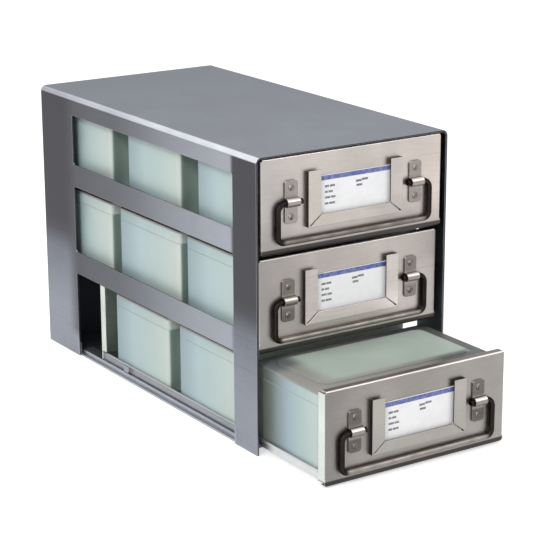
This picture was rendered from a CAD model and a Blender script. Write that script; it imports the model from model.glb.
import bpy
import bmesh
import math
from mathutils import Matrix, Vector


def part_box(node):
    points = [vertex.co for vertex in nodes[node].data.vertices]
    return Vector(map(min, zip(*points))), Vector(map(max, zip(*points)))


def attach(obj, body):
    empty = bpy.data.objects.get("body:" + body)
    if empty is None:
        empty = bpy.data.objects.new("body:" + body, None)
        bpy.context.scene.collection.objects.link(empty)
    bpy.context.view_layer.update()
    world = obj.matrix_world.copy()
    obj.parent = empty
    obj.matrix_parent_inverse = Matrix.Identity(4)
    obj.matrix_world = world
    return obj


# lengths in metres: x runs across the rack to the right, y from its front to its rear, z up

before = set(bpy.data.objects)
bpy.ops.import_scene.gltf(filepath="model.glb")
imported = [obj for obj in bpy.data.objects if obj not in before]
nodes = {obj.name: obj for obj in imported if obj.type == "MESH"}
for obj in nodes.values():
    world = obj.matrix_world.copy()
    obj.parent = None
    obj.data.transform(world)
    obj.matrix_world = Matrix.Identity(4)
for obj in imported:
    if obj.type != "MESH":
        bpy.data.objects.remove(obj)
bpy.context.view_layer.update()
levels = (1, 2, 3)
print("rack loaded:", len(nodes), "nodes")


# helpers for tones and node trees

def tone(red, green, blue):
    # a screen tone, 0 to 255, as a scene colour
    def linear(value):
        value = value / 255
        return value / 12.92 if value <= 0.04045 else ((value + 0.055) / 1.055) ** 2.4
    return (linear(red), linear(green), linear(blue), 1.0)


def shade(value):
    return (value, value, value, 1.0)


def addNode(tree, kind, **settings):
    node = tree.nodes.new(kind)
    for name, value in settings.items():
        setattr(node, name, value)
    return node


def fill(tree, socket, value):
    # an output is linked to the socket, and a plain value is set on it
    if isinstance(value, bpy.types.NodeSocket):
        tree.links.new(value, socket)
    else:
        socket.default_value = value


def calculate(tree, operation, *values):
    node = addNode(tree, "ShaderNodeMath", operation=operation)
    for socket, value in zip(node.inputs, values):
        fill(tree, socket, value)
    return node.outputs[0]


def times(tree, first, *others):
    product = first
    for value in others:
        product = calculate(tree, "MULTIPLY", product, value)
    return product


def spread(tree, value, span, out=(0.0, 1.0), smooth=False):
    # carries a value from a span to another, and holds it at the ends
    node = addNode(tree, "ShaderNodeMapRange", interpolation_type="SMOOTHSTEP" if smooth else "LINEAR")
    for label, number in zip(("From Min", "From Max", "To Min", "To Max"), (*span, *out)):
        node.inputs[label].default_value = number
    fill(tree, node.inputs["Value"], value)
    return node.outputs[0]


def fade(tree, value, span):
    # 0 at the start of the span and 1 at its end, eased at both
    return spread(tree, value, span, smooth=True)


mixSockets = {"factor": 0, "first": 6, "second": 7, "result": 2}     # of a Mix node that is set to colour


def mixColour(tree, factor, first, second, blend="MIX"):
    node = addNode(tree, "ShaderNodeMix", data_type="RGBA", blend_type=blend)
    fill(tree, node.inputs[mixSockets["factor"]], factor)
    fill(tree, node.inputs[mixSockets["first"]], first)
    fill(tree, node.inputs[mixSockets["second"]], second)
    return node.outputs[mixSockets["result"]]


def toneRamp(tree, value, stops):
    # each stop is a share from 0 to 1 and its colour
    node = addNode(tree, "ShaderNodeValToRGB")
    elements = node.color_ramp.elements
    while len(elements) < len(stops):
        elements.new(0.5)
    for element, (share, colour) in zip(elements, stops):
        element.position = share
        element.color = colour
    fill(tree, node.inputs["Fac"], value)
    return node.outputs["Color"]


def placeRamp(tree, value, stops):
    # each stop is a place in metres and its colour
    first, last = stops[0][0], stops[-1][0]
    shares = [((place - first) / (last - first), colour) for place, colour in stops]
    return toneRamp(tree, spread(tree, value, (first, last)), shares)


def noise(tree, coords, scale, detail, roughness=0.5):
    node = addNode(tree, "ShaderNodeTexNoise")
    settings = {"Vector": coords, "Scale": scale, "Detail": detail, "Roughness": roughness}
    for label, value in settings.items():
        fill(tree, node.inputs[label], value)
    return node.outputs["Fac"]


madeTrees = []     # arranged at the end


def newGroup(name, inputs, outputs):
    tree = bpy.data.node_groups.new(name, "ShaderNodeTree")
    for label, (kind, value) in inputs.items():
        socket = tree.interface.new_socket(label, in_out="INPUT", socket_type="NodeSocket" + kind)
        if value is not None:
            socket.default_value = value
    for label, kind in outputs.items():
        tree.interface.new_socket(label, in_out="OUTPUT", socket_type="NodeSocket" + kind)
    madeTrees.append(tree)
    return tree, addNode(tree, "NodeGroupInput").outputs, addNode(tree, "NodeGroupOutput").inputs


def useGroup(tree, group, **values):
    node = addNode(tree, "ShaderNodeGroup", node_tree=group)
    for label, value in values.items():
        fill(tree, node.inputs[label], value)
    return node.outputs


def newTree(owner):
    owner.use_nodes = True
    owner.node_tree.nodes.clear()
    madeTrees.append(owner.node_tree)
    return owner.node_tree


nodeSpacing = (200, 260)     # between columns, between rows


def arrangeNodes(tree):
    # the output stands at the right, and every other node left of all that it feeds
    column = dict.fromkeys(tree.nodes.keys(), 0)
    links = [(link.from_node.name, link.to_node.name) for link in tree.links]
    moved = True
    while moved:
        moved = False
        for source, target in links:
            if column[source] <= column[target]:
                column[source] = column[target] + 1
                moved = True
    rows = dict.fromkeys(column.values(), 0)
    for name, place in column.items():
        tree.nodes[name].location = (-place * nodeSpacing[0], -rows[place] * nodeSpacing[1])
        rows[place] += 1


# effects that several finishes share

grainLook = {
    "detail": 3.0,
    "roughness": 0.65,
    "scratchShare": 0.21,          # fineness of the scratches, as a share of the grain's
    "scratchDetail": 1.0,
    "scratchFrom": (0.66, 0.74),
}


def makeBrushedGrain(look):
    # fine rolling lines, and the odd longer scratch among them
    tree, start, end = newGroup(
        "brushedGrain",
        {"Coords": ("Vector", None), "Stretch": ("Vector", (1, 1, 1)), "Fineness": ("Float", 2500.0)},
        {"Lines": "Float", "Scratches": "Float"})
    stretched = addNode(tree, "ShaderNodeVectorMath", operation="MULTIPLY")
    fill(tree, stretched.inputs[0], start["Coords"])
    fill(tree, stretched.inputs[1], start["Stretch"])
    fine = noise(tree, stretched.outputs[0], start["Fineness"], look["detail"], look["roughness"])
    coarseScale = times(tree, start["Fineness"], look["scratchShare"])
    coarse = noise(tree, stretched.outputs[0], coarseScale, look["scratchDetail"])
    fill(tree, end["Lines"], fine)
    fill(tree, end["Scratches"], spread(tree, coarse, look["scratchFrom"]))
    return tree


marksLook = {
    "detail": 4.0,
    "roughness": 0.55,
    "hazeFrom": (0.3, 0.7),
    "speckShare": 22.0,            # fineness of the specks, as a share of the haze's
    "speckDetail": 2.0,
    "speckFrom": (0.68, 0.78),
}


def makeHandlingMarks(look):
    # soft clouding, with small specks in it
    tree, start, end = newGroup(
        "handlingMarks",
        {"Coords": ("Vector", None), "Size": ("Float", 30.0)},
        {"Haze": "Float", "Specks": "Float"})
    cloud = noise(tree, start["Coords"], start["Size"], look["detail"], look["roughness"])
    speckScale = times(tree, start["Size"], look["speckShare"])
    speck = noise(tree, start["Coords"], speckScale, look["speckDetail"])
    fill(tree, end["Haze"], fade(tree, cloud, look["hazeFrom"]))
    fill(tree, end["Specks"], spread(tree, speck, look["speckFrom"]))
    return tree


edgeLook = {"samples": 6, "turned": (0.995, 0.86)}     # cosines of how far the bevel turns the surface


def makeSoftEdge(look):
    # rounds the shading of a cut edge, and finds it for wear
    tree, start, end = newGroup(
        "softEdge", {"Radius": ("Float", 0.0005)}, {"Edge": "Float", "Normal": "Vector"})
    bevel = addNode(tree, "ShaderNodeBevel", samples=look["samples"])
    fill(tree, bevel.inputs["Radius"], start["Radius"])
    surface = addNode(tree, "ShaderNodeNewGeometry")
    facing = addNode(tree, "ShaderNodeVectorMath", operation="DOT_PRODUCT")
    fill(tree, facing.inputs[0], bevel.outputs[0])
    fill(tree, facing.inputs[1], surface.outputs["Normal"])
    fill(tree, end["Edge"], spread(tree, facing.outputs["Value"], look["turned"]))
    fill(tree, end["Normal"], bevel.outputs[0])
    return tree


weldLook = {
    "along": (-0.126, -0.116, 0.098, 0.112, 0.122),    # depths on the posts, in metres
    "dent": (1.0, 0.55),                               # in radii of the weld
    "ringAt": 1.05,
    "ringFade": (0.35, 0.0),
}


def makeWeldSpots(look):
    # faint round marks where a runner is welded on behind the sheet
    tree, start, end = newGroup(
        "weldSpots",
        {"Along": ("Float", 0.0), "Up": ("Float", 0.0), "First": ("Float", 0.0),
         "Pitch": ("Float", 0.061), "Radius": ("Float", 0.0022)},
        {"Spot": "Float", "Ring": "Float"})
    fromFirst = calculate(tree, "SUBTRACT", start["Up"], start["First"])
    above = calculate(tree, "PINGPONG", fromFirst, times(tree, start["Pitch"], 0.5))
    beside = None
    for place in look["along"]:
        away = calculate(tree, "ABSOLUTE", calculate(tree, "SUBTRACT", start["Along"], place))
        beside = away if beside is None else calculate(tree, "MINIMUM", beside, away)
    squares = [calculate(tree, "POWER", away, 2.0) for away in (beside, above)]
    distance = calculate(tree, "SQRT", calculate(tree, "ADD", *squares))
    radii = calculate(tree, "DIVIDE", distance, start["Radius"])
    fromRing = calculate(tree, "ABSOLUTE", calculate(tree, "SUBTRACT", radii, look["ringAt"]))
    fill(tree, end["Spot"], fade(tree, radii, look["dent"]))
    fill(tree, end["Ring"], fade(tree, fromRing, look["ringFade"]))
    return tree


brushedGrain = makeBrushedGrain(grainLook)
handlingMarks = makeHandlingMarks(marksLook)
softEdge = makeSoftEdge(edgeLook)
weldSpots = makeWeldSpots(weldLook)
print("shared effects made")


# what every finish starts from and ends with

def newFinish(name):
    material = bpy.data.materials.new(name)
    tree = newTree(material)
    shader = addNode(tree, "ShaderNodeBsdfPrincipled")
    output = addNode(tree, "ShaderNodeOutputMaterial")
    fill(tree, output.inputs["Surface"], shader.outputs[0])
    coords = addNode(tree, "ShaderNodeTexCoord").outputs["Object"]
    place = addNode(tree, "ShaderNodeSeparateXYZ")
    fill(tree, place.inputs[0], coords)
    return material, tree, shader.inputs, coords, place.outputs


def grainOf(look, tree, coords):
    return useGroup(tree, brushedGrain, Coords=coords, Stretch=look["run"], Fineness=look["fineness"])


def marksOf(look, tree, coords):
    return useGroup(tree, handlingMarks, Coords=coords, Size=look["markSize"])


def edgeOf(look, tree):
    return useGroup(tree, softEdge, Radius=look["edgeRadius"])


def facingOf(tree):
    surface = addNode(tree, "ShaderNodeNewGeometry")
    facing = addNode(tree, "ShaderNodeSeparateXYZ")
    fill(tree, facing.inputs[0], surface.outputs["Normal"])
    return facing.outputs


bumpDistance = 0.0001
wholeSpan = (0.0, 1.0)
lineSpan = (0.3, 0.7)     # where the grain's lines lie


def addRelief(tree, shader, height, normal, strength):
    node = addNode(tree, "ShaderNodeBump")
    node.inputs["Strength"].default_value = strength
    node.inputs["Distance"].default_value = bumpDistance
    fill(tree, node.inputs["Height"], height)
    if normal is not None:
        fill(tree, node.inputs["Normal"], normal)
    fill(tree, shader["Normal"], node.outputs[0])


def grainTone(look, tree, grain):
    return spread(tree, grain["Lines"], lineSpan, (1.0 - look["grain"], 1.0 + look["grain"]))


def wearSteel(look, tree, shader, body, grain, marks, edge, height):
    # grain, haze, scratches and rubbed edges over the steel's own tone
    haze = spread(tree, marks["Haze"], wholeSpan, look["haze"])
    body = mixColour(tree, 1.0, body, times(tree, grainTone(look, tree, grain), haze), "MULTIPLY")
    body = mixColour(tree, times(tree, grain["Scratches"], look["scratches"]), body, look["scratch"])
    body = mixColour(tree, times(tree, edge["Edge"], look["edgeWear"]), body, look["edge"])
    fill(tree, shader["Base Color"], body)
    rough = spread(tree, grain["Lines"], lineSpan, look["roughness"])
    dulled = calculate(tree, "ADD", rough, times(tree, marks["Haze"], look["dulling"]))
    fill(tree, shader["Roughness"], dulled)
    shader["Metallic"].default_value = 1.0
    addRelief(tree, shader, height, edge["Normal"], look["relief"])


def wearPlastic(look, tree, shader, body, marks, edge):
    # haze, specks and rubbed edges over the plastic's own tone
    haze = spread(tree, marks["Haze"], wholeSpan, look["haze"])
    body = mixColour(tree, 1.0, body, haze, "MULTIPLY")
    body = mixColour(tree, times(tree, marks["Specks"], look["specks"]), body, look["speck"])
    body = mixColour(tree, times(tree, edge["Edge"], look["edgeWear"]), body, look["edge"])
    fill(tree, shader["Base Color"], body)
    fill(tree, shader["Roughness"], spread(tree, marks["Haze"], wholeSpan, look["roughness"]))
    addRelief(tree, shader, marks["Specks"], edge["Normal"], look["relief"])


# sheet steel of the frame: cool grey, rolled along its depth

frameSteel = {
    "run": (1.0, 0.035, 1.0),
    "fineness": 1900.0,
    "markSize": 24.0,
    "edgeRadius": 0.0006,
    # posts: height in metres, tone
    "post": (
        (0.030, tone(148, 152, 159)), (0.050, tone(137, 141, 148)), (0.072, tone(122, 125, 133)),
        (0.086, tone(84, 84, 89)), (0.094, tone(78, 78, 81))),
    # rails: depth in metres, tone
    "rail": (
        (-0.110, tone(163, 166, 173)), (-0.060, tone(149, 152, 159)), (-0.029, tone(136, 139, 145)),
        (0.002, tone(119, 121, 127)), (0.033, tone(105, 107, 111)), (0.064, tone(101, 102, 106)),
        (0.095, tone(92, 92, 96))),
    "railFront": (-0.1108, -0.1062),
    "railRear": (0.106, 0.086),
    "railAbove": (0.012, 0.020),
    # pale foot between the posts
    "foot": tone(184, 187, 193),
    "footFront": (-0.1108, -0.1100),
    "footRear": (0.0922, 0.0914),
    "footBelow": (0.013, 0.010),
    # top sheet: rear and front tone
    "top": (tone(128, 134, 140), tone(143, 147, 154)),
    "topSpan": (0.13, -0.13),
    "topAbove": (0.170, 0.176),
    "topFacing": (0.55, 0.97),
    # back panel: foot and head tone
    "back": (tone(138, 142, 148), tone(112, 114, 119)),
    "backSpan": (0.0, 0.18),
    "backFacing": (0.5, 0.9),
    # bright bend along the top, fading to the rear
    "bend": tone(236, 238, 246),
    "bendFacing": ((0.12, 0.34), (0.98, 0.86)),
    "bendSpan": (0.14, -0.12),
    "bendFade": (0.45, 1.0),
    # cut edge at the front
    "frontEdge": tone(66, 64, 66),
    "frontFacing": (-0.8, -0.95),
    "frontAmount": 0.75,
    # welds of the runners
    "weldFirst": 0.0064,
    "weldPitch": 0.061,
    "weldRadius": 0.0022,
    "weldSide": (0.0698, 0.0699),
    "weldRing": tone(60, 56, 52),
    "ringAmount": 0.10,
    "weldDepth": 0.6,
    "grain": 0.10,
    "haze": (0.95, 1.06),
    "scratches": 0.10,
    "scratch": tone(60, 60, 62),
    "edgeWear": 0.45,
    "edge": tone(190, 191, 196),
    "grazing": (0.72, 0.72, 0.74, 1.0),     # dulls what is seen at a low angle
    "roughness": (0.33, 0.44),
    "dulling": 0.08,
    "relief": 0.12,
}


def makeFrameSteel(look):
    material, tree, shader, coords, place = newFinish("frameSteel")
    grain = grainOf(look, tree, coords)
    marks = marksOf(look, tree, coords)
    edge = edgeOf(look, tree)
    facing = facingOf(tree)
    along, up = place["Y"], place["Z"]
    postTone = placeRamp(tree, up, look["post"])
    railTone = placeRamp(tree, along, look["rail"])
    onRail = times(
        tree, fade(tree, along, look["railFront"]), fade(tree, along, look["railRear"]),
        fade(tree, up, look["railAbove"]))
    sideTone = mixColour(tree, onRail, postTone, railTone)
    onFoot = times(
        tree, spread(tree, along, look["footFront"]), spread(tree, along, look["footRear"]),
        fade(tree, up, look["footBelow"]))
    sideTone = mixColour(tree, onFoot, sideTone, look["foot"])
    topTone = mixColour(tree, spread(tree, along, look["topSpan"]), *look["top"])
    onTop = times(tree, fade(tree, facing["Z"], look["topFacing"]), spread(tree, up, look["topAbove"]))
    body = mixColour(tree, onTop, sideTone, topTone)
    backTone = mixColour(tree, spread(tree, up, look["backSpan"]), *look["back"])
    body = mixColour(tree, fade(tree, facing["Y"], look["backFacing"]), body, backTone)
    bendStart, bendEnd = look["bendFacing"]
    onBend = times(
        tree, fade(tree, facing["Z"], bendStart), fade(tree, facing["Z"], bendEnd),
        spread(tree, along, look["bendSpan"], look["bendFade"]))
    body = mixColour(tree, onBend, body, look["bend"])
    onFront = times(tree, spread(tree, facing["Y"], look["frontFacing"]), look["frontAmount"])
    body = mixColour(tree, onFront, body, look["frontEdge"])
    welds = useGroup(
        tree, weldSpots, Along=along, Up=up,
        First=look["weldFirst"], Pitch=look["weldPitch"], Radius=look["weldRadius"])
    onSide = spread(tree, calculate(tree, "ABSOLUTE", place["X"]), look["weldSide"])
    ring = times(tree, welds["Ring"], onSide, look["ringAmount"])
    body = mixColour(tree, ring, body, look["weldRing"])
    dent = times(tree, welds["Spot"], onSide, look["weldDepth"])
    height = calculate(tree, "SUBTRACT", grain["Lines"], dent)
    shader["Specular Tint"].default_value = look["grazing"]
    wearSteel(look, tree, shader, body, grain, marks, edge, height)
    return material


# sheet steel of the drawers: warmer and lighter, rolled across the rack

acrossAt = (-0.062, -0.030, 0.030, 0.062)        # places of the left, middle, middle and right tone
evenLift = ((0.0, 1.0), (0.056, 1.0))            # height above the drawer's foot, brightness

# what the drawers' sheets have in common
drawerSheet = {
    "run": (0.04, 1.0, 1.0),
    "fineness": 2100.0,
    "markSize": 32.0,
    "edgeRadius": 0.0005,
    "lift": dict.fromkeys(levels, evenLift),
    "sideFacing": (0.6, 0.9),
    "crownFacing": (0.25, 0.7),
    "flatFacing": (0.93, 0.985),
    "crown": tone(226, 219, 214),
    "flatTop": tone(112, 106, 102),
    "grain": 0.07,
    "haze": (1.05, 0.94),
    "scratches": 0.10,
    "scratch": tone(90, 86, 84),
    "edge": tone(226, 219, 214),
    "roughness": (0.29, 0.40),
    "dulling": 0.10,
    "relief": 0.10,
}

frontSteel = dict(
    drawerSheet,
    across={                                     # tones at the left, the middle and the right
        1: (tone(174, 169, 165), tone(185, 178, 172), tone(200, 190, 183)),
        2: (tone(150, 145, 142), tone(175, 168, 163), tone(164, 158, 154)),
        3: (tone(133, 129, 127), tone(148, 144, 140), tone(148, 144, 140)),
    },
    lift={
        1: ((0.0, 0.76), (0.010, 0.86), (0.024, 0.98), (0.056, 1.0)),
        2: ((0.0, 1.36), (0.012, 1.28), (0.024, 1.14), (0.040, 1.0)),
        3: ((0.0, 1.08), (0.009, 1.08), (0.024, 1.0), (0.056, 0.96)),
    },
    footEnds={2: (1.50, 0.80)},                  # brightness of the foot's left end and right end
    footEndsAt=(-0.064, -0.034, 0.040, 0.064),
    footEndsBelow=(0.036, 0.010),
    hemBelow=(0.0040, 0.0031),
    hemFacing=(-0.3, -0.7),
    hemAmount=0.9,
    hem=tone(50, 45, 45),
    side=tone(214, 219, 213),
    edgeWear=0.6,
)

holderSteel = dict(
    drawerSheet,
    across={
        1: (tone(184, 177, 171), tone(184, 178, 172), tone(192, 185, 179)),
        2: (tone(180, 173, 168), tone(190, 182, 178), tone(186, 178, 173)),
        3: (tone(156, 152, 148), tone(162, 158, 153), tone(166, 161, 157)),
    },
    lift={
        1: ((0.0, 0.94), (0.056, 1.0)),
        2: ((0.0, 1.40), (0.018, 1.38), (0.026, 1.10), (0.034, 1.0)),
        3: ((0.0, 0.96), (0.056, 1.0)),
    },
    side=tone(62, 56, 53),
    edgeWear=0.12,
)

clipSteel = dict(
    drawerSheet,
    across={
        1: (tone(150, 144, 139),) * 3,
        2: (tone(145, 139, 134),) * 3,
        3: (tone(140, 134, 129),) * 3,
    },
    # stain of the flat ends: tone, amount
    stain={1: (tone(142, 136, 131), 0.55), 2: (tone(112, 106, 101), 0.8), 3: (tone(88, 82, 78), 0.95)},
    thinStain=0.75,                              # share of the amount where the stain is thinnest
    humpMiddle=0.0305,                           # above the drawer's foot
    flatFrom=(0.0036, 0.0052),                   # from the hump's middle
    side=tone(110, 103, 99),
    edgeWear=0.2,
)

# the tray's and the back's sheet is greyer than the front's
traySheet = dict(
    drawerSheet,
    crown=tone(196, 198, 196),
    flatTop=tone(170, 172, 172),
    edge=tone(196, 198, 196),
    edgeWear=0.4,
)

traySteel = dict(
    traySheet,
    run=(1.0, 0.04, 1.0),
    across=dict.fromkeys(levels, (tone(176, 177, 176),) * 3),
    side=tone(208, 210, 210),
    innerSide=tone(156, 158, 164),               # of the part that is inside the frame at rest
    innerFrom=(-0.145, -0.125),
)

backSteel = dict(
    traySheet,
    across=dict.fromkeys(levels, (tone(224, 228, 220),) * 3),
    side=tone(206, 209, 202),
)


def makeDrawerSteel(look, name, level):
    material, tree, shader, coords, place = newFinish(f"{name}{level}")
    grain = grainOf(look, tree, coords)
    marks = marksOf(look, tree, coords)
    edge = edgeOf(look, tree)
    facing = facingOf(tree)
    lift = calculate(tree, "SUBTRACT", place["Z"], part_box(f"front_{level}")[0].z)
    left, middle, right = look["across"][level]
    body = placeRamp(tree, place["X"], list(zip(acrossAt, (left, middle, middle, right))))
    brightness = [(height, shade(value)) for height, value in look["lift"][level]]
    body = mixColour(tree, 1.0, body, placeRamp(tree, lift, brightness), "MULTIPLY")
    if level in look.get("footEnds", {}):
        # the foot of this front is brighter at its left end and darker at its right end
        left, right = look["footEnds"][level]
        ends = list(zip(look["footEndsAt"], (shade(left), shade(1.0), shade(1.0), shade(right))))
        below = fade(tree, lift, look["footEndsBelow"])
        body = mixColour(tree, below, body, placeRamp(tree, place["X"], ends), "MULTIPLY")
    if "stain" in look:
        # the clip's flat ends are darker than its hump
        stain, amount = look["stain"][level]
        fromHump = calculate(tree, "ABSOLUTE", calculate(tree, "SUBTRACT", lift, look["humpMiddle"]))
        patchy = spread(tree, marks["Haze"], wholeSpan, (amount * look["thinStain"], amount))
        body = mixColour(tree, times(tree, fade(tree, fromHump, look["flatFrom"]), patchy), body, stain)
    side = look["side"]
    if "innerSide" in look:
        side = mixColour(tree, fade(tree, place["Y"], look["innerFrom"]), side, look["innerSide"])
    onSide = fade(tree, calculate(tree, "ABSOLUTE", facing["X"]), look["sideFacing"])
    body = mixColour(tree, onSide, body, side)
    crown = mixColour(tree, fade(tree, facing["Z"], look["flatFacing"]), look["crown"], look["flatTop"])
    body = mixColour(tree, fade(tree, facing["Z"], look["crownFacing"]), body, crown)
    if "hem" in look:
        # the dark roll along the foot
        onHem = calculate(
            tree, "MAXIMUM", fade(tree, lift, look["hemBelow"]), fade(tree, facing["Z"], look["hemFacing"]))
        body = mixColour(tree, times(tree, onHem, look["hemAmount"]), body, look["hem"])
    wearSteel(look, tree, shader, body, grain, marks, edge, grain["Lines"])
    return material


# drawn wire of the bails and pins: dark, and rubbed brighter along the crossbar

wireSteel = {
    "run": (1.0, 1.0, 0.2),
    "fineness": 2600.0,
    "markSize": 110.0,
    "body": tone(38, 34, 32),
    "worn": tone(66, 60, 57),
    "wornAmount": 0.3,
    "rubbed": {1: tone(124, 118, 114), 2: tone(150, 144, 139), 3: tone(150, 144, 139)},
    "rubbedBelow": (0.014, 0.011),
    "rubbedWithin": (0.0535, 0.050),
    "rubbedAmount": (1.0, 0.8),
    "grain": 0.1,
    "grazing": shade(0.5),
    "roughness": (0.36, 0.52),
    "relief": 0.15,
}


def makeWireSteel(look, name, level=None):
    material, tree, shader, coords, place = newFinish(name)
    grain = grainOf(look, tree, coords)
    marks = marksOf(look, tree, coords)
    body = mixColour(tree, times(tree, marks["Haze"], look["wornAmount"]), look["body"], look["worn"])
    if level is not None:
        lift = calculate(tree, "SUBTRACT", place["Z"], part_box(f"front_{level}")[0].z)
        aside = calculate(tree, "ABSOLUTE", place["X"])
        rubbed = times(
            tree, fade(tree, lift, look["rubbedBelow"]), fade(tree, aside, look["rubbedWithin"]),
            spread(tree, marks["Haze"], wholeSpan, look["rubbedAmount"]))
        body = mixColour(tree, rubbed, body, look["rubbed"][level])
    body = mixColour(tree, 1.0, body, grainTone(look, tree, grain), "MULTIPLY")
    fill(tree, shader["Base Color"], body)
    fill(tree, shader["Roughness"], spread(tree, marks["Haze"], wholeSpan, look["roughness"]))
    shader["Metallic"].default_value = 1.0
    shader["Specular Tint"].default_value = look["grazing"]
    addRelief(tree, shader, grain["Lines"], None, look["relief"])
    return material


# moulded plastic of the boxes: pale aqua, cooler towards each box's rear

boxPlastic = {
    "markSize": 38.0,
    "edgeRadius": 0.0009,
    # share of the length from the rear, tone
    "side": (
        (0.0, tone(154, 173, 178)), (0.12, tone(163, 183, 187)), (0.34, tone(184, 204, 206)),
        (0.62, tone(190, 208, 204)), (0.92, tone(203, 215, 208)), (1.0, tone(216, 224, 216))),
    # the same for the box behind the lowest front, stained near its rear
    "stained": (
        (0.0, tone(178, 186, 178)), (0.10, tone(152, 160, 151)), (0.20, tone(110, 117, 107)),
        (0.29, tone(112, 124, 117)), (0.40, tone(138, 153, 154)), (0.54, tone(163, 182, 190)),
        (0.70, tone(177, 198, 196)), (1.0, tone(200, 214, 208))),
    # ends: tone at the corners and between them
    "end": (tone(140, 158, 149), tone(176, 193, 184)),
    "endSpan": (0.060, 0.050),
    "endFacing": (0.75, 0.95),
    "haze": (0.97, 1.03),
    "specks": 0.16,
    "speck": tone(228, 234, 232),
    "edgeWear": 0.55,
    "edge": tone(216, 226, 220),
    "roughness": (0.36, 0.54),
    "relief": 0.18,
}
stainedBox = "3_front"


def sideOf(tree, place, node, low, high):
    # the tone of a box's side, which its lid's skirt carries on
    stops = boxPlastic["stained" if node.endswith(stainedBox) else "side"]
    return toneRamp(tree, spread(tree, place["Y"], (high.y, low.y)), stops)


def makeBoxPlastic(look, node):
    material, tree, shader, coords, place = newFinish(node + "Plastic")
    low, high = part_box(node)
    marks = marksOf(look, tree, coords)
    edge = edgeOf(look, tree)
    facing = facingOf(tree)
    aside = calculate(tree, "ABSOLUTE", place["X"])
    endTone = mixColour(tree, fade(tree, aside, look["endSpan"]), *look["end"])
    onEnd = fade(tree, calculate(tree, "ABSOLUTE", facing["Y"]), look["endFacing"])
    body = mixColour(tree, onEnd, sideOf(tree, place, node, low, high), endTone)
    wearPlastic(look, tree, shader, body, marks, edge)
    return material


# lids: green panel in a grey border, which is wide and soft at the left and the front

lidPlastic = {
    "markSize": 30.0,
    "edgeRadius": 0.0008,
    "panel": (tone(198, 212, 201), tone(160, 174, 162)),     # rear, front
    "panelLeft": (-0.052, -0.040),
    "panelRight": (0.0575, 0.0550),
    "panelFront": (0.0095, 0.0155),                          # from the lid's front
    "panelRear": (0.006, 0.009),                             # from its rear
    "border": (                                              # across the lid in metres, tone
        (-0.060, tone(156, 155, 150)), (-0.010, tone(150, 148, 143)), (0.020, tone(136, 135, 130)),
        (0.034, tone(88, 91, 86)), (0.060, tone(92, 95, 92))),
    "corner": tone(104, 113, 114),                           # stain at the rear left of the stained box's lid
    "cornerLeft": (-0.038, -0.050),
    "cornerRear": (0.030, 0.018),
    "cornerAmount": 0.8,
    "skirtBelow": (0.0030, 0.0018),                          # from the top
    "haze": (0.95, 1.05),
    "specks": 0.18,
    "speck": tone(226, 232, 229),
    "edgeWear": 0.4,
    "edge": tone(200, 208, 202),
    "roughness": (0.38, 0.58),
    "relief": 0.2,
}


def fromEnd(end, span):
    # a span that is measured back from an end of the lid
    return (end - span[0], end - span[1])


def makeLidPlastic(look, node):
    material, tree, shader, coords, place = newFinish(node + "Plastic")
    low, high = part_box(node)
    marks = marksOf(look, tree, coords)
    edge = edgeOf(look, tree)
    frontStart, frontFull = look["panelFront"]
    onPanel = times(
        tree, fade(tree, place["X"], look["panelLeft"]), fade(tree, place["X"], look["panelRight"]),
        fade(tree, place["Y"], (low.y + frontStart, low.y + frontFull)),
        fade(tree, place["Y"], fromEnd(high.y, look["panelRear"])))
    panelTone = mixColour(tree, spread(tree, place["Y"], (high.y, low.y)), *look["panel"])
    body = mixColour(tree, onPanel, placeRamp(tree, place["X"], look["border"]), panelTone)
    if node.endswith(stainedBox):
        onCorner = times(
            tree, fade(tree, place["X"], look["cornerLeft"]),
            fade(tree, place["Y"], fromEnd(high.y, look["cornerRear"])), look["cornerAmount"])
        body = mixColour(tree, onCorner, body, look["corner"])
    onTop = fade(tree, place["Z"], fromEnd(high.z, look["skirtBelow"]))
    body = mixColour(tree, onTop, sideOf(tree, place, node, low, high), body)
    wearPlastic(look, tree, shader, body, marks, edge)
    return material


# card and its print

cardStock = {
    "markSize": 160.0,
    "paper": tone(253, 253, 253),
    "fibre": tone(247, 247, 249),
    "roughness": (0.57, 0.72),
    "relief": 0.1,
}


def makeCardStock(look):
    material, tree, shader, coords, _ = newFinish("cardStock")
    marks = marksOf(look, tree, coords)
    fill(tree, shader["Base Color"], mixColour(tree, marks["Haze"], look["paper"], look["fibre"]))
    fill(tree, shader["Roughness"], spread(tree, marks["Haze"], wholeSpan, look["roughness"]))
    addRelief(tree, shader, marks["Haze"], None, look["relief"])
    return material


printInk = {
    "markSize": 420.0,
    "stripe": tone(72, 88, 160),
    "mark": tone(112, 110, 116),
    "bare": tone(236, 237, 242),
    "bareAmount": 0.22,
    "roughness": (0.5, 0.65),
}


def makePrintInk(look, kind):
    material, tree, shader, coords, _ = newFinish(kind + "Ink")
    marks = marksOf(look, tree, coords)
    bare = times(tree, marks["Haze"], look["bareAmount"])
    fill(tree, shader["Base Color"], mixColour(tree, bare, look[kind], look["bare"]))
    fill(tree, shader["Roughness"], spread(tree, marks["Haze"], wholeSpan, look["roughness"]))
    return material


frameFinish = makeFrameSteel(frameSteel)
pinFinish = makeWireSteel(wireSteel, "pinSteel")
cardFinish = makeCardStock(cardStock)
inks = [makePrintInk(printInk, kind) for kind in ("stripe", "mark")]
drawerFinishes = {
    level: {
        "front": makeDrawerSteel(frontSteel, "frontSteel", level),
        "label_holder": makeDrawerSteel(holderSteel, "holderSteel", level),
        "bail_clips": makeDrawerSteel(clipSteel, "clipSteel", level),
        "tray": makeDrawerSteel(traySteel, "traySteel", level),
        "drawer_back": makeDrawerSteel(backSteel, "backSteel", level),
        "bail": makeWireSteel(wireSteel, f"wireSteel{level}", level),
    } for level in levels
}
print("finishes made")


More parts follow.
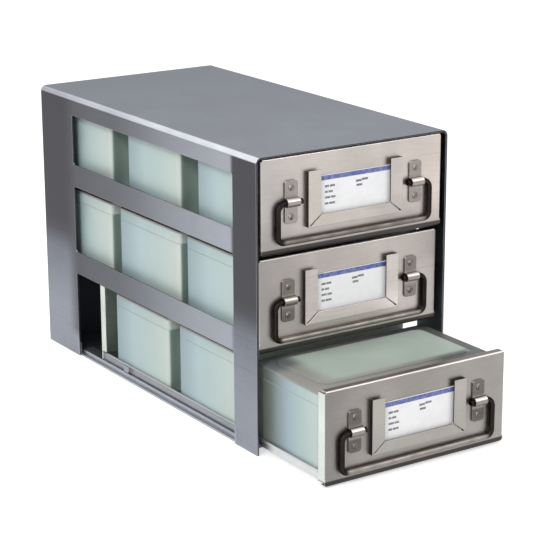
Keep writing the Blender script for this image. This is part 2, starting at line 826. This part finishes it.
def finishOf(name):
    kind, _, last = name.rpartition("_")
    if name.startswith(("frame_", "runner_", "base_runner_")):
        return frameFinish
    if name == "stop_pins":
        return pinFinish
    if kind == "label_card":
        return cardFinish
    if name.startswith("box_"):
        return makeBoxPlastic(boxPlastic, name)
    if name.startswith("lid_"):
        return makeLidPlastic(lidPlastic, name)
    return drawerFinishes[int(last)][kind]


for name in nodes:
    mesh = nodes[name].data
    finish = finishOf(name)
    if len(mesh.materials) == 0:
        mesh.materials.append(finish)
    for index in range(len(mesh.materials)):
        mesh.materials[index] = finish
print("nodes dressed")


# meshes that Blender adds

def addBlock(mesh, low, high):
    corners = bmesh.ops.create_cube(mesh, size=1.0)["verts"]
    size = Vector(high) - Vector(low)
    bmesh.ops.scale(mesh, vec=size, verts=corners)
    bmesh.ops.translate(mesh, vec=(Vector(low) + Vector(high)) / 2, verts=corners)
    return corners


def newObject(name, mesh):
    data = bpy.data.meshes.new(name)
    mesh.to_mesh(data)
    mesh.free()
    made = bpy.data.objects.new(name, data)
    bpy.context.scene.collection.objects.link(made)
    return made


def newPiece(name, mesh, materials, body):
    piece = newObject(name, mesh)
    for material in materials:
        piece.data.materials.append(material)
    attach(piece, body)
    return piece


# print of the cards: a head stripe and short word-like bars

cardPrint = {
    "sideFlange": 0.009,             # of the holder, over the card's sides
    "footFlange": 0.007,
    "stripeInset": 0.0006,
    "stripeBelow": 0.0002,           # from the card's top edge
    "stripeHeight": 0.0028,
    "marks": (                       # left, right and row, as shares of what shows between the flanges
        (0.08, 0.14, 0.30), (0.15, 0.22, 0.30),
        (0.08, 0.12, 0.45), (0.13, 0.19, 0.45),
        (0.08, 0.155, 0.60), (0.165, 0.23, 0.60),
        (0.08, 0.13, 0.76), (0.14, 0.225, 0.76),
        (0.52, 0.60, 0.285), (0.605, 0.695, 0.262),
        (0.53, 0.615, 0.40),
    ),
    "markHeight": 0.0013,
    "thickness": 0.00004,
}


def makeCardPrint(level, look):
    low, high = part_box(f"label_card_{level}")
    holderLow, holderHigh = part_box(f"label_holder_{level}")
    leftEdge, rightEdge = holderLow.x + look["sideFlange"], holderHigh.x - look["sideFlange"]
    width, height = rightEdge - leftEdge, high.z - (holderLow.z + look["footFlange"])
    mesh = bmesh.new()

    def bar(left, right, bottom, top, slot):
        corners = addBlock(mesh, (left, low.y - look["thickness"], bottom), (right, low.y, top))
        for face in {face for corner in corners for face in corner.link_faces}:
            face.material_index = slot

    inset, top = look["stripeInset"], high.z - look["stripeBelow"]
    bar(low.x + inset, high.x - inset, top - look["stripeHeight"], top, 0)
    for left, right, row in look["marks"]:
        middle = high.z - row * height
        bar(leftEdge + left * width, leftEdge + right * width,
            middle - look["markHeight"] / 2, middle + look["markHeight"] / 2, 1)
    piece = newPiece(f"card_print_{level}", mesh, inks, f"drawer_{level}")


# weld dimples on the flat ends of each clip

clipWelds = {
    "radius": 0.0021,
    "height": 0.00018,
    "fromEnd": 0.0042,
    "fromSide": 0.0045,
    "clipSheet": 0.001,                                              # the sheet that they stand on
    "profile": ((1.0, 0.0), (0.82, 1.0), (0.6, 0.35), (0.25, 0.1)),  # shares of the radius and the height
    "steps": 20,
}


def makeDimple(mesh, look, centre):
    rings = []
    for radius, rise in look["profile"]:
        ring = []
        for step in range(look["steps"]):
            angle = 2 * math.pi * step / look["steps"]
            offset = (math.cos(angle) * radius * look["radius"], -rise * look["height"],
                      math.sin(angle) * radius * look["radius"])
            ring.append(mesh.verts.new(centre + Vector(offset)))
        rings.append(ring)
    for outer, inner in zip(rings, rings[1:]):
        for step in range(look["steps"]):
            after = (step + 1) % look["steps"]
            mesh.faces.new((outer[step], outer[after], inner[after], inner[step]))
    mesh.faces.new(rings[-1])
    mesh.faces.new(rings[0][::-1])


def makeClipWelds(level, look):
    low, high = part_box(f"bail_clips_{level}")
    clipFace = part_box(f"front_{level}")[0].y - look["clipSheet"]
    mesh = bmesh.new()
    for side in (-1, 1):
        for height in (low.z + look["fromEnd"], high.z - look["fromEnd"]):
            makeDimple(mesh, look, Vector((side * (high.x - look["fromSide"]), clipFace, height)))
    bmesh.ops.recalc_face_normals(mesh, faces=mesh.faces)
    for face in mesh.faces:
        face.smooth = True
    piece = newPiece(f"clip_welds_{level}", mesh, (drawerFinishes[level]["bail_clips"],), f"drawer_{level}")


for level in levels:
    makeCardPrint(level, cardPrint)
    makeClipWelds(level, clipWelds)
print("print and welds added")


# floor, sky, lamps and camera

white = shade(1.0)


def sightMask(tree):
    # 1 where the camera, a gloss or glass looks at it
    rays = addNode(tree, "ShaderNodeLightPath").outputs
    seen = calculate(tree, "MAXIMUM", rays["Is Camera Ray"], rays["Is Glossy Ray"])
    return calculate(tree, "MAXIMUM", seen, rays["Is Transmission Ray"])


studioFloor = {"tone": tone(232, 232, 232), "glow": 0.53, "size": 9.0, "height": -0.0002}


def makeFloor(look):
    material = bpy.data.materials.new("studioFloor")
    tree = newTree(material)
    matt = addNode(tree, "ShaderNodeBsdfDiffuse")
    matt.inputs["Color"].default_value = look["tone"]
    glow = addNode(tree, "ShaderNodeEmission")
    glow.inputs["Color"].default_value = white
    fill(tree, glow.inputs["Strength"], times(tree, sightMask(tree), look["glow"]))
    both = addNode(tree, "ShaderNodeAddShader")
    fill(tree, both.inputs[0], matt.outputs[0])
    fill(tree, both.inputs[1], glow.outputs[0])
    output = addNode(tree, "ShaderNodeOutputMaterial")
    fill(tree, output.inputs["Surface"], both.outputs[0])
    mesh = bmesh.new()
    bmesh.ops.create_grid(mesh, x_segments=1, y_segments=1, size=look["size"])
    floor = newObject("floor", mesh)
    floor.location.z = look["height"]
    floor.data.materials.append(material)


studioSky = {"diffuse": 0.62, "seen": 1.0}     # strength as light on matt surfaces, and where it is looked at


def makeSky(look):
    world = bpy.data.worlds.new("studioSky")
    bpy.context.scene.world = world
    tree = newTree(world)
    sky = addNode(tree, "ShaderNodeBackground")
    sky.inputs["Color"].default_value = white
    strength = spread(tree, sightMask(tree), wholeSpan, (look["diffuse"], look["seen"]))
    fill(tree, sky.inputs["Strength"], strength)
    output = addNode(tree, "ShaderNodeOutputWorld")
    fill(tree, output.inputs["Surface"], sky.outputs[0])


studioLamps = {
    "key": {"place": (1.5, -1.9, 1.6), "size": 1.2, "power": 12.0, "colour": (1.0, 0.985, 0.965)},
    "fill": {"place": (-1.5, -0.9, 1.35), "size": 0.6, "power": 15.0, "colour": (0.97, 0.985, 1.0)},
    "top": {"place": (-0.3, 0.4, 2.1), "size": 1.4, "power": 7.0, "colour": (0.96, 0.98, 1.0)},
}
lampAim = Vector((0.0, -0.03, 0.09))


def makeLamp(name, look):
    data = bpy.data.lights.new(name, "AREA")
    data.shape = "DISK"
    data.size = look["size"]
    data.energy = look["power"]
    data.color = look["colour"]
    lamp = bpy.data.objects.new(name, data)
    lamp.location = look["place"]
    lamp.rotation_euler = (lampAim - lamp.location).to_track_quat("-Z", "Y").to_euler()
    bpy.context.scene.collection.objects.link(lamp)


camera = {
    "place": (-0.650856, -1.031395, 0.428668),
    "yaw": 33.5264,        # degrees from straight at the front, towards the right
    "pitch": 16.4547,      # degrees down
    "roll": -0.2084,
    "lens": 125.157,
    "sensor": 36.0,
    "clip": (0.05, 50.0),
}


def makeCamera(look):
    data = bpy.data.cameras.new("camera")
    data.sensor_width = look["sensor"]
    data.sensor_fit = "HORIZONTAL"
    data.lens = look["lens"]
    data.clip_start, data.clip_end = look["clip"]
    yaw, pitch, roll = (math.radians(look[key]) for key in ("yaw", "pitch", "roll"))
    ahead = Vector((math.sin(yaw) * math.cos(pitch), math.cos(yaw) * math.cos(pitch), -math.sin(pitch)))
    right = Vector((math.cos(yaw), -math.sin(yaw), 0.0))
    up = right.cross(ahead)
    rolledRight = right * math.cos(roll) + up * math.sin(roll)
    rolledUp = up * math.cos(roll) - right * math.sin(roll)
    turn = Matrix((rolledRight, rolledUp, -ahead)).transposed().to_4x4()
    view = bpy.data.objects.new("camera", data)
    view.matrix_world = Matrix.Translation(look["place"]) @ turn
    bpy.context.scene.collection.objects.link(view)
    bpy.context.scene.camera = view


makeFloor(studioFloor)
makeSky(studioSky)
for name, look in studioLamps.items():
    makeLamp(name, look)
makeCamera(camera)
bpy.context.scene.view_settings.view_transform = "Standard"
print("studio set")

for tree in madeTrees:
    arrangeNodes(tree)
print("node trees arranged")

print("sizes written")
